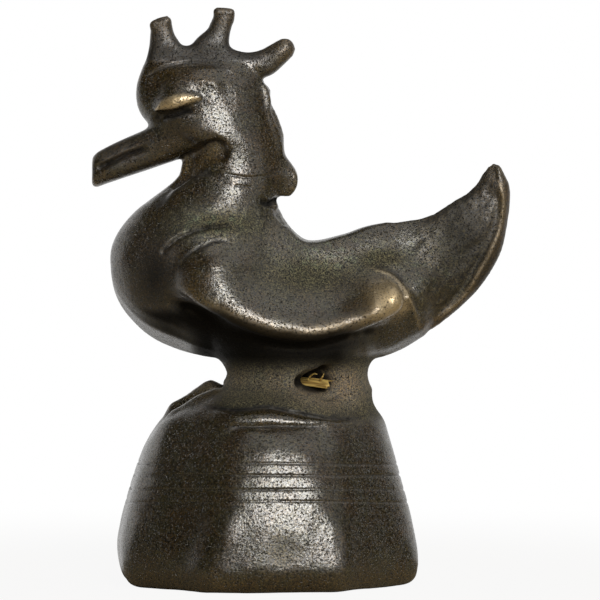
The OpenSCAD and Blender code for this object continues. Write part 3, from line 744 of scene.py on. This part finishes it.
def cut_by(mesh, knife_mesh, operation):
    piece = new_object("uncut", mesh)
    knife = new_object("knife", knife_mesh)
    cut = piece.modifiers.new("cut", "BOOLEAN")
    cut.operation = operation
    cut.solver = "MANIFOLD"
    cut.object = knife
    result = with_modifiers(piece)
    bpy.data.objects.remove(knife)
    triangles_only(result)
    return result


def block(low, high):
    form = bmesh.new()
    bmesh.ops.create_cube(form, size=1)
    for vert in form.verts:
        vert.co = [lo + (half + 0.5) * (hi - lo) for half, lo, hi in zip(vert.co, low, high)]
    return new_mesh("block", form)


def slab(outline, low, high):
    """Block with the given outline in the side view, between two places across the bird."""
    form = bmesh.new()
    rings = [[form.verts.new((x, y, z)) for x, z in outline] for y in (low, high)]
    form.faces.new(rings[0])
    form.faces.new(rings[1][::-1])
    for i in range(len(outline)):
        form.faces.new([rings[0][i], rings[0][i - 1], rings[1][i - 1], rings[1][i]])
    bmesh.ops.recalc_face_normals(form, faces=form.faces)
    return new_mesh("slab", form)


class Cloth:
    """The whole skin, for the normals and looks of pieces cut from it."""

    def __init__(self, skin, looks):
        self.corners = mesh_triangles(skin.mesh)
        self.points = skin.points
        self.normals = skin.normals
        self.looks = looks
        self.tree = BVHTree.FromPolygons(skin.points.tolist(), self.corners.tolist())

    def nearest(self, places):
        """For each place: its distance from the skin, the three vertices round it there and their shares."""
        found = [self.tree.find_nearest(place) for place in places.tolist()]
        spots = np.array([f[0] for f in found])
        gaps = np.array([f[3] for f in found])
        corners = self.corners[[f[2] for f in found]]
        a, b, c = (self.points[corners[:, i]] for i in range(3))
        normal = np.cross(b - a, c - a)
        area = np.maximum(1e-12, np.sum(normal * normal, axis=1))
        first = np.sum(np.cross(c - b, spots - b) * normal, axis=1) / area
        second = np.sum(np.cross(a - c, spots - c) * normal, axis=1) / area
        shares = np.clip(np.column_stack([first, second, 1 - first - second]), 0, 1)
        return gaps, corners, shares

    def dress(self, mesh):
        """Gives a cut piece the skin's smooth normals and looks, and flat normals on its cut faces."""
        touching = 2e-3
        points = mesh_points(mesh)
        gaps, corners, shares = self.nearest(points)
        on_skin = gaps < touching
        original = on_skin & (shares.max(axis=1) > 0.9999)
        normals = np.sum(self.normals[corners] * shares[:, :, None], axis=1)
        normals /= np.linalg.norm(normals, axis=1)[:, None]
        there = {name: np.sum(values[corners] * shares, axis=1) for name, values in self.looks.items()}
        store_looks(mesh, there)
        faces = mesh_triangles(mesh)
        outer = np.all(original[faces], axis=1)
        unsure = np.flatnonzero(np.all(on_skin[faces], axis=1) & ~outer)
        if len(unsure):
            outer[unsure] = self.nearest(points[faces[unsure]].mean(axis=1))[0] < touching
        flat = np.repeat(values_of(mesh.polygons, "normal", 3)[:, None], 3, axis=1)
        shade_smooth(mesh)
        mesh.normals_split_custom_set(np.where(outer[:, None, None], normals[faces], flat).reshape(-1, 3))


bronze = bpy.data.materials.new("cast_bronze")
casting_mesh.materials.clear()
casting_mesh.materials.append(bronze)


def knives():
    """Each lump's name with the block or slab that takes it off the skin, in the order of cutting."""
    head_half, crest_half, outside = 9, 5, 30
    eye_depth, wing_depth = 2.7, 3.6
    bill_root, head_low = -12.4, 48.1
    eye_outline = smooth_line([[-12.4, 49.4], [-11.4, 50.5], [-9.8, 51.3], [-8, 51.6], [-6.6, 51.2],
                               [-6.9, 50.4], [-8.3, 50], [-10, 49.5], [-11.6, 49.1]])
    rear_crest = [[-2.2, 56.5], [-0.75, 52.5], [6, 52.5], [6, 60], [-2.2, 60]]
    upper_bill = [[-22, 41.8]] + mouth + [[bill_root, 45.8], [bill_root, head_low], [-22, head_low]]
    lower_bill = [[-22, 39], [bill_root, 41.5], [bill_root, head_low], [-22, head_low]]
    nape_line = smooth_line([[-1.1, 52.6], [-1, 51], [-0.7, 49.6], [-0.2, 48.2], [0.4, 46.6], [0.6, 45],
                             [0.4, 43.5], [0.6, 42], [1.2, 40.5]]).tolist()
    behind_nape = nape_line + [[6, 40.5], [6, 52.6]]
    behind_tail = smooth_line(tail_bead).tolist() + [[24.2, 47], [30, 47], [30, 22], [16, 22]]
    jaw_line = [[-15, 46.8], [-12, 45.6], [-9, 45.6], [-5.5, 46.2], [-2, 47.4], [4, 49]]
    above_jaw = jaw_line + [[4, 60], [-15, 60]]
    wing_line = [[x, z - 0.8] for x, z in wing_edge] + wing_curl[5::-1] + [[4, 34.6], [-1, 35.2]]
    wing_line = smooth_line(wing_line + inner_arc[4:0:-1] + [[-10, 31.8]])[:-1]
    return [
        ("eye_left", slab(eye_outline, -head_half, -eye_depth)),
        ("eye_right", slab(eye_outline, eye_depth, head_half)),
        ("crest_front", block((-15, -crest_half, 56), (-8.2, crest_half, 65))),
        ("crest_middle", block((-8.2, -crest_half, 56.4), (-2.6, crest_half, 65))),
        ("crest_rear", slab(rear_crest, -crest_half, crest_half)),
        ("comb", block((-16, -head_half, comb_foot), (6, head_half, 60))),
        ("bill_upper", slab(upper_bill, -head_half, head_half)),
        ("bill_lower", slab(lower_bill, -head_half, head_half)),
        ("mane", slab(behind_nape, -head_half, head_half)),
        ("tail_rim", slab(behind_tail, -head_half, head_half)),
        ("head", slab(above_jaw, -head_half, head_half)),
        ("wing_left", slab(wing_line, -outside, -wing_depth)),
        ("wing_right", slab(wing_line, wing_depth, outside)),
        ("base", block((-outside, -outside, -5), (outside, outside, 20.3))),
        ("waist", block((-outside, -outside, 0), (outside, outside, 23.4))),
        ("neck", block((-outside, -outside, 37.5), (4.5, outside, 70))),
        ("tail", block((14.3, -outside, 20), (40, outside, 60))),
    ]


def finish_lump(name, mesh, cloth):
    cloth.dress(mesh)
    finish_piece(name + "_bronze", mesh, "rubbed_bronze" if "eye" in name else "bronze", name)
    mesh.materials.clear()
    mesh.materials.append(bronze)


triangles_only(casting_mesh)
skin.refresh()
whole_skin = Cloth(skin, looks)
rest = casting_mesh
for name, knife_mesh in knives():
    lump = cut_by(rest, knife_mesh, "INTERSECT")
    rest = cut_by(rest, knife_mesh, "DIFFERENCE")
    finish_lump(name, lump, whole_skin)
finish_lump("body", rest, whole_skin)

# Materials


class Nodes:
    """Short way to put together the nodes of a material or of the world."""

    def __init__(self, owner):
        owner.use_nodes = True
        self.all = owner.node_tree.nodes
        self.links = owner.node_tree.links
        self.shader = self.all.get("Principled BSDF")

    def add(self, kind):
        return self.all.new(kind)

    def feed(self, socket, value):
        if isinstance(value, bpy.types.NodeSocket):
            self.links.new(value, socket)
        else:
            socket.default_value = value

    def shade(self, name, value):
        self.feed(self.shader.inputs[name], value)

    def attribute(self, name):
        node = self.add("ShaderNodeAttribute")
        node.attribute_name = name
        return node.outputs["Fac"]

    def place(self, kind="Object"):
        return self.add("ShaderNodeTexCoord").outputs[kind]

    def vector(self, operation, a, b=None, output=0):
        node = self.add("ShaderNodeVectorMath")
        node.operation = operation
        self.feed(node.inputs[0], a)
        if b is not None:
            self.feed(node.inputs["Scale" if operation == "SCALE" else 1], b)
        return node.outputs[output]

    def noise(self, place, size, detail=2.0, roughness=0.5):
        node = self.add("ShaderNodeTexNoise")
        self.feed(node.inputs["Vector"], place)
        self.feed(node.inputs["Scale"], 1 / size)
        self.feed(node.inputs["Detail"], detail)
        self.feed(node.inputs["Roughness"], roughness)
        return node.outputs["Fac"]

    def math(self, operation, a, b, clamp=False):
        node = self.add("ShaderNodeMath")
        node.operation = operation
        node.use_clamp = clamp
        self.feed(node.inputs[0], a)
        self.feed(node.inputs[1], b)
        return node.outputs[0]

    def times(self, a, b, clamp=False):
        return self.math("MULTIPLY", a, b, clamp)

    def larger(self, a, b):
        return self.math("MAXIMUM", a, b)

    def span(self, value, low, high, to_low=0.0, to_high=1.0):
        node = self.add("ShaderNodeMapRange")
        node.interpolation_type = "SMOOTHSTEP"
        self.feed(node.inputs["Value"], value)
        self.feed(node.inputs["From Min"], low)
        self.feed(node.inputs["From Max"], high)
        self.feed(node.inputs["To Min"], to_low)
        self.feed(node.inputs["To Max"], to_high)
        return node.outputs["Result"]

    def mix(self, share, a, b, kind="RGBA"):
        """Mix of two colours or two numbers, whose sockets the node keeps in one list."""
        first, second, result = {"RGBA": (6, 7, 2), "FLOAT": (2, 3, 0)}[kind]
        node = self.add("ShaderNodeMix")
        node.data_type = kind
        self.feed(node.inputs[0], share)
        self.feed(node.inputs[first], a)
        self.feed(node.inputs[second], b)
        return node.outputs[result]

    def bump(self, height, depth, below=None):
        node = self.add("ShaderNodeBump")
        self.feed(node.inputs["Distance"], depth)
        self.feed(node.inputs["Height"], height)
        if below is not None:
            self.feed(node.inputs["Normal"], below)
        return node.outputs["Normal"]


def colour(red, green, blue):
    return (red, green, blue, 1)


# Bronze: brown and olive patina under crust, corrosion, earth, black for painted shade, dark patina, specks
# and pits, and rubbed gold
brown = colour(0.05, 0.031, 0.009)
olive = colour(0.046, 0.037, 0.013)
umber = colour(0.085, 0.048, 0.014)
shade_and_pit_black = colour(0.0025, 0.002, 0.0015)
verdigris = colour(0.11, 0.135, 0.075)
ochre = colour(0.2, 0.175, 0.09)
rust = colour(0.105, 0.06, 0.013)
clay = colour(0.17, 0.11, 0.042)
gold = colour(0.6, 0.45, 0.24)
olive_crust = colour(0.115, 0.105, 0.055)

nodes = Nodes(bronze)
in_mm = nodes.vector("MULTIPLY", nodes.place(), (1 / MM, 1 / MM, 1 / MM))
at = {name: nodes.attribute(name) for name in looks}
clouds = nodes.noise(in_mm, 2.2, 4, 0.6)
patches = nodes.noise(in_mm, 0.8, 3, 0.6)
speckle = nodes.noise(in_mm, 0.22, 2, 0.6)
crumbs = nodes.span(nodes.noise(in_mm, 0.3, 3, 0.7), 0.5, 0.68)
pits = nodes.span(nodes.noise(in_mm, 0.2, 2), 0.56, 0.68)
rubbed = nodes.times(at["wear"], nodes.span(speckle, 0.3, 0.5, 0.55, 1), True)

tone = nodes.mix(nodes.span(clouds, 0.35, 0.65), brown, olive)
tone = nodes.mix(nodes.times(nodes.span(patches, 0.5, 0.75), 0.5), tone, umber)
tone = nodes.mix(nodes.times(at["matte"], 0.8), tone, olive_crust)
tone = nodes.mix(nodes.times(nodes.times(at["matte"], crumbs), 0.7), tone, ochre)
tone = nodes.mix(nodes.times(at["green"], nodes.span(patches, 0.45, 0.7), True), tone, verdigris)
tone = nodes.mix(nodes.times(at["earth"], nodes.span(clouds, 0.3, 0.6, 0.35, 0.9), True), tone, clay)
tone = nodes.mix(nodes.times(at["warm"], nodes.span(patches, 0.3, 0.6, 0.45, 0.9)), tone, rust)
tone = nodes.vector("SCALE", tone, nodes.span(nodes.noise(in_mm, 0.14, 1), 0.32, 0.68, 0.15, 2.2))
tone = nodes.mix(nodes.span(speckle, 0.42, 0.62, 0.5, 0), tone, shade_and_pit_black)
# painted shade and dark patina: the colour goes black where their mask is high
tone = nodes.mix(nodes.times(at["hollow"], 0.92), tone, shade_and_pit_black)
tone = nodes.mix(rubbed, tone, gold)
tone = nodes.mix(nodes.times(pits, 0.7), tone, shade_and_pit_black)
nodes.shade("Base Color", tone)

# black metal in painted shade, dark patina and pits removes reflections there
shade_and_pit_metal = nodes.larger(nodes.times(at["hollow"], 0.9), nodes.times(pits, 0.8))
crust_metal = nodes.math("SUBTRACT", nodes.span(at["matte"], 0.1, 0.7, 0.4, 0.8), at["earth"], True)
metal = nodes.larger(nodes.times(rubbed, 0.75), nodes.larger(shade_and_pit_metal, crust_metal))
nodes.shade("Metallic", metal)

polish = 0.25
dull = nodes.larger(nodes.span(at["hollow"], 0, 1, polish, 0.7), nodes.span(at["matte"], 0, 1, polish, 0.8))
dull = nodes.larger(dull, nodes.span(at["satin"], 0, 1, polish, 0.6))
dull = nodes.larger(dull, nodes.span(rubbed, 0, 0.6, polish, 0.33))
nodes.shade("Roughness", nodes.math("ADD", dull, nodes.span(speckle, 0.3, 0.7, -0.05, 0.1)))
nodes.shade("IOR", 2.2)
nodes.shade("Specular IOR Level", 0.5)

grit = nodes.math("SUBTRACT", nodes.times(speckle, 0.7), pits)
nodes.shade("Normal", nodes.bump(grit, 0.04 * MM, nodes.bump(patches, 0.05 * MM)))

# Cane left in the passage: a split strip and two loose fibres


def swept(path, across, rings, forward):
    """Closed mesh round a path, from rings of [across, up] offsets that are also moved forward along it."""
    ahead = np.gradient(path, axis=0)
    ahead /= np.linalg.norm(ahead, axis=1)[:, None]
    sideways = across - (ahead @ across)[:, None] * ahead
    sideways /= np.linalg.norm(sideways, axis=1)[:, None]
    upward = np.cross(sideways, ahead)
    points = (path[:, None] + rings[:, :, :1] * sideways[:, None] + rings[:, :, 1:] * upward[:, None]
              + forward[:, :, None] * ahead[:, None])
    count, round_count = rings.shape[:2]
    corner = np.arange(count * round_count).reshape(count, round_count)
    faces = [corner[[i, i, i + 1, i + 1], [j, j - 1, j - 1, j]].tolist() for i in range(count - 1)
             for j in range(round_count)]
    faces += [corner[0].tolist(), corner[-1, ::-1].tolist()]
    mesh = bpy.data.meshes.new("cane")
    mesh.from_pydata(points.reshape(-1, 3).tolist(), [], faces)
    mesh.validate()
    triangles_only(mesh)
    return mesh


round_count = 48
angle = np.arange(round_count) * 2 * math.pi / round_count
passage = np.array([0.734, -0.68, 0])
viewer_side = np.array([-0.68, -0.734, 0])
strip_tilt = math.radians(38)
strip_up = np.array([0, 0, math.cos(strip_tilt)]) + viewer_side * math.sin(strip_tilt)
strip_across = np.cross(passage, strip_up)
strip_half_width, strip_half_thick, strip_length = 0.62, 0.16, 8.1
strip_start = np.array([0.6, -0.1, 21.25])
strip_bow, strip_sag = 0.12, 0.3
rib_spacing, groove_share = 0.3, 0.3

strip_share = np.linspace(0, 1, 40)
strip_path = strip_start + strip_share[:, None] * strip_length * passage
strip_path[:, 2] += strip_bow * np.sin(math.pi * strip_share) - strip_sag * strip_share
across = strip_half_width * np.sign(np.cos(angle)) * np.abs(np.cos(angle)) ** 0.6
ribbed = 1 - groove_share * (0.5 + 0.5 * np.cos(across * 2 * math.pi / rib_spacing))
upward = strip_half_thick * np.sign(np.sin(angle)) * np.abs(np.sin(angle)) ** 0.7 * ribbed
strip_rings = np.broadcast_to(np.column_stack([across, upward]), (len(strip_share), round_count, 2))
teeth = 0.35 * np.sin(6 * across + 0.5) + 0.2 * np.sin(17 * across) - 0.3
strip_mesh = swept(strip_path, strip_across, strip_rings, rise(strip_share, 0.9, 1)[:, None] * teeth)

fibre_radius, fibre_taper = 0.1, 0.55
fibre_lines = [
    [[4.2, -3.7, 21.35], [4.5, -4, 21.8], [4.9, -4.4, 22.05], [5.2, -4.6, 22]],
    [[5.5, -4.7, 21.4], [5.75, -4.9, 21.75], [5.9, -5.05, 22.1]],
]
fibre_meshes = []
for line in fibre_lines:
    fibre_path = smooth_line(line, per_span=8)
    radius = fibre_radius * (1 - fibre_taper * np.linspace(0, 1, len(fibre_path)))
    circle = np.column_stack([np.cos(angle[::4]), np.sin(angle[::4])])
    fibre_rings = radius[:, None, None] * circle[None]
    fibre_meshes.append(swept(fibre_path, -viewer_side, fibre_rings, np.zeros(fibre_rings.shape[:2])))

straw = colour(0.8, 0.57, 0.17)
dry_brown = colour(0.32, 0.19, 0.05)
cane = bpy.data.materials.new("split_cane")
nodes = Nodes(cane)
fibre_at = nodes.attribute("fibre")
nodes.shade("Base Color", nodes.mix(nodes.span(fibre_at, 0.25, 0.7), dry_brown, straw))
nodes.shade("Roughness", nodes.span(fibre_at, 0, 1, 0.7, 0.45))
nodes.shade("Specular IOR Level", 0.4)
for name, mesh in (("cane_strip", strip_mesh), ("cane_fibres", joined(fibre_meshes))):
    points = mesh_points(mesh)
    grained = np.column_stack([points @ strip_across / 0.07, points @ strip_up / 0.3, points @ passage / 1.3])
    store_looks(mesh, {"fibre": 0.5 + 0.5 * grain(grained, size=1, seed=9)})
    shade_smooth(mesh)
    mesh.materials.append(cane)
    finish_piece(name.replace("cane", "split_cane"), mesh, "cane", name)

# Floor and surroundings: white to the camera, with a dim room on the viewer's side of the object


def white_sweep(nodes, direction):
    """1 where a direction leads to the white sweep behind the object, more to its left, and 0 in the room."""
    back_and_left = (-0.15, 1, 0)
    behind = nodes.vector("DOT_PRODUCT", direction, back_and_left, "Value")
    parts = nodes.add("ShaderNodeSeparateXYZ")
    nodes.feed(parts.inputs[0], direction)
    return nodes.times(nodes.span(behind, 0.22, 0.48), nodes.span(parts.outputs["Z"], 0.3, 0.65, 1, 0.1))


def shown_rays(nodes, direction):
    """1 for the background that the camera sees, by itself or in a shiny or clear surface."""
    ray = nodes.add("ShaderNodeLightPath")
    mirrored = nodes.math("ADD", ray.outputs["Is Glossy Ray"], ray.outputs["Is Transmission Ray"], True)
    mirrored = nodes.times(mirrored, white_sweep(nodes, direction))
    return nodes.math("ADD", ray.outputs["Is Camera Ray"], mirrored, True)


floor_half = 30.0
floor_mesh = bpy.data.meshes.new("floor")
floor_mesh.from_pydata([(-floor_half, -floor_half, 0), (floor_half, -floor_half, 0),
                        (floor_half, floor_half, 0), (-floor_half, floor_half, 0)], [], [(0, 1, 2, 3)])
floor = new_object("floor", floor_mesh)
paper = bpy.data.materials.new("pale_paper")
floor_mesh.materials.append(paper)
nodes = Nodes(paper)
nodes.all.remove(nodes.shader)
plain = nodes.add("ShaderNodeBsdfDiffuse")
plain.inputs["Color"].default_value = colour(0.4, 0.34, 0.23)
white = nodes.add("ShaderNodeEmission")
white.inputs["Strength"].default_value = 1
bird_middle = (0, 0, 0.03)
near_foot, clear_of_foot = 0.03, 0.12
from_foot = nodes.vector("LENGTH", nodes.place(), output="Value")
whiteness = nodes.span(from_foot, near_foot, clear_of_foot, 0.92, 1)
outward = nodes.vector("NORMALIZE", nodes.vector("SUBTRACT", nodes.place(), bird_middle))
blend = nodes.add("ShaderNodeMixShader")
nodes.feed(blend.inputs[0], nodes.times(whiteness, shown_rays(nodes, outward)))
nodes.feed(blend.inputs[1], plain.outputs[0])
nodes.feed(blend.inputs[2], white.outputs[0])
nodes.feed(nodes.all["Material Output"].inputs["Surface"], blend.outputs[0])

dim_room = 0.015
world = bpy.data.worlds.new("studio")
bpy.context.scene.world = world
nodes = Nodes(world)
camera_ray = nodes.add("ShaderNodeLightPath").outputs["Is Camera Ray"]
room = nodes.span(white_sweep(nodes, nodes.place("Generated")), 0, 1, dim_room, 1)
nodes.feed(nodes.all["Background"].inputs["Strength"], nodes.mix(camera_ray, room, 1.0, "FLOAT"))
nodes.all["Background"].inputs["Color"].default_value = colour(1, 1, 1)


def softbox(name, place, width, height, power):
    """Area lamp at a place in metres, facing the middle of the bird."""
    data = bpy.data.lights.new(name, "AREA")
    data.shape = "RECTANGLE"
    data.size = width
    data.size_y = height
    data.energy = power
    lamp = new_object(name, data)
    lamp.location = place
    lamp.rotation_euler = (Vector(bird_middle) - Vector(place)).to_track_quat("-Z", "Y").to_euler()


softbox("key", place=(0.145, -0.543, 0.292), width=0.21, height=0.28, power=2.45)
softbox("fill", place=(0.3, -0.1, 0.85), width=1.2, height=1.0, power=2.8)
softbox("low_fill", place=(0.5, -0.4, 0.12), width=0.5, height=0.5, power=0.45)

bpy.context.scene.view_settings.view_transform = "Standard"
